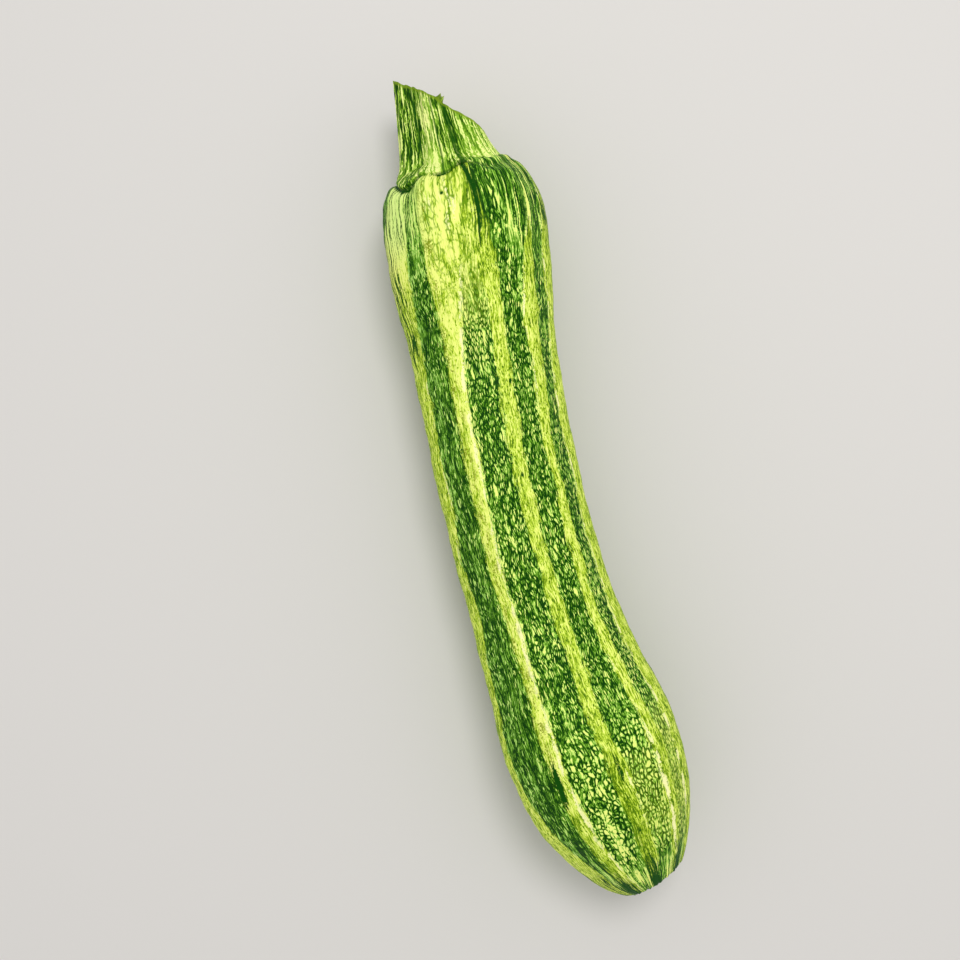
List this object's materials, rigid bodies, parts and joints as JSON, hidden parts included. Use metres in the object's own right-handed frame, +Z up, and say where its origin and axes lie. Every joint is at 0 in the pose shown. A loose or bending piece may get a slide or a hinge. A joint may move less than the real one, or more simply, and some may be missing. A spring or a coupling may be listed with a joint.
{
  "type": "zucchini",
  "caption": "Long striped zucchini lying on its side, gently bent, with a fuller blossom end, a narrow waist and a ridged stem stub cut on a slant.",
  "frame": {"origin": "middle of the object's footprint, at the level of the surface it lies on", "axes": "+Y along the fruit towards its stem, +Z up from the surface, +X to the side that the stem end bends towards"},
  "size_m": [0.0741, 0.3025, 0.0614],
  "materials": {
    "fruit_skin": "satin",
    "stem_skin": "matte"
  },
  "bodies": {
    "root": {"fruit": "fruit_skin", "stem": "stem_skin"}
  },
  "joints": []
}
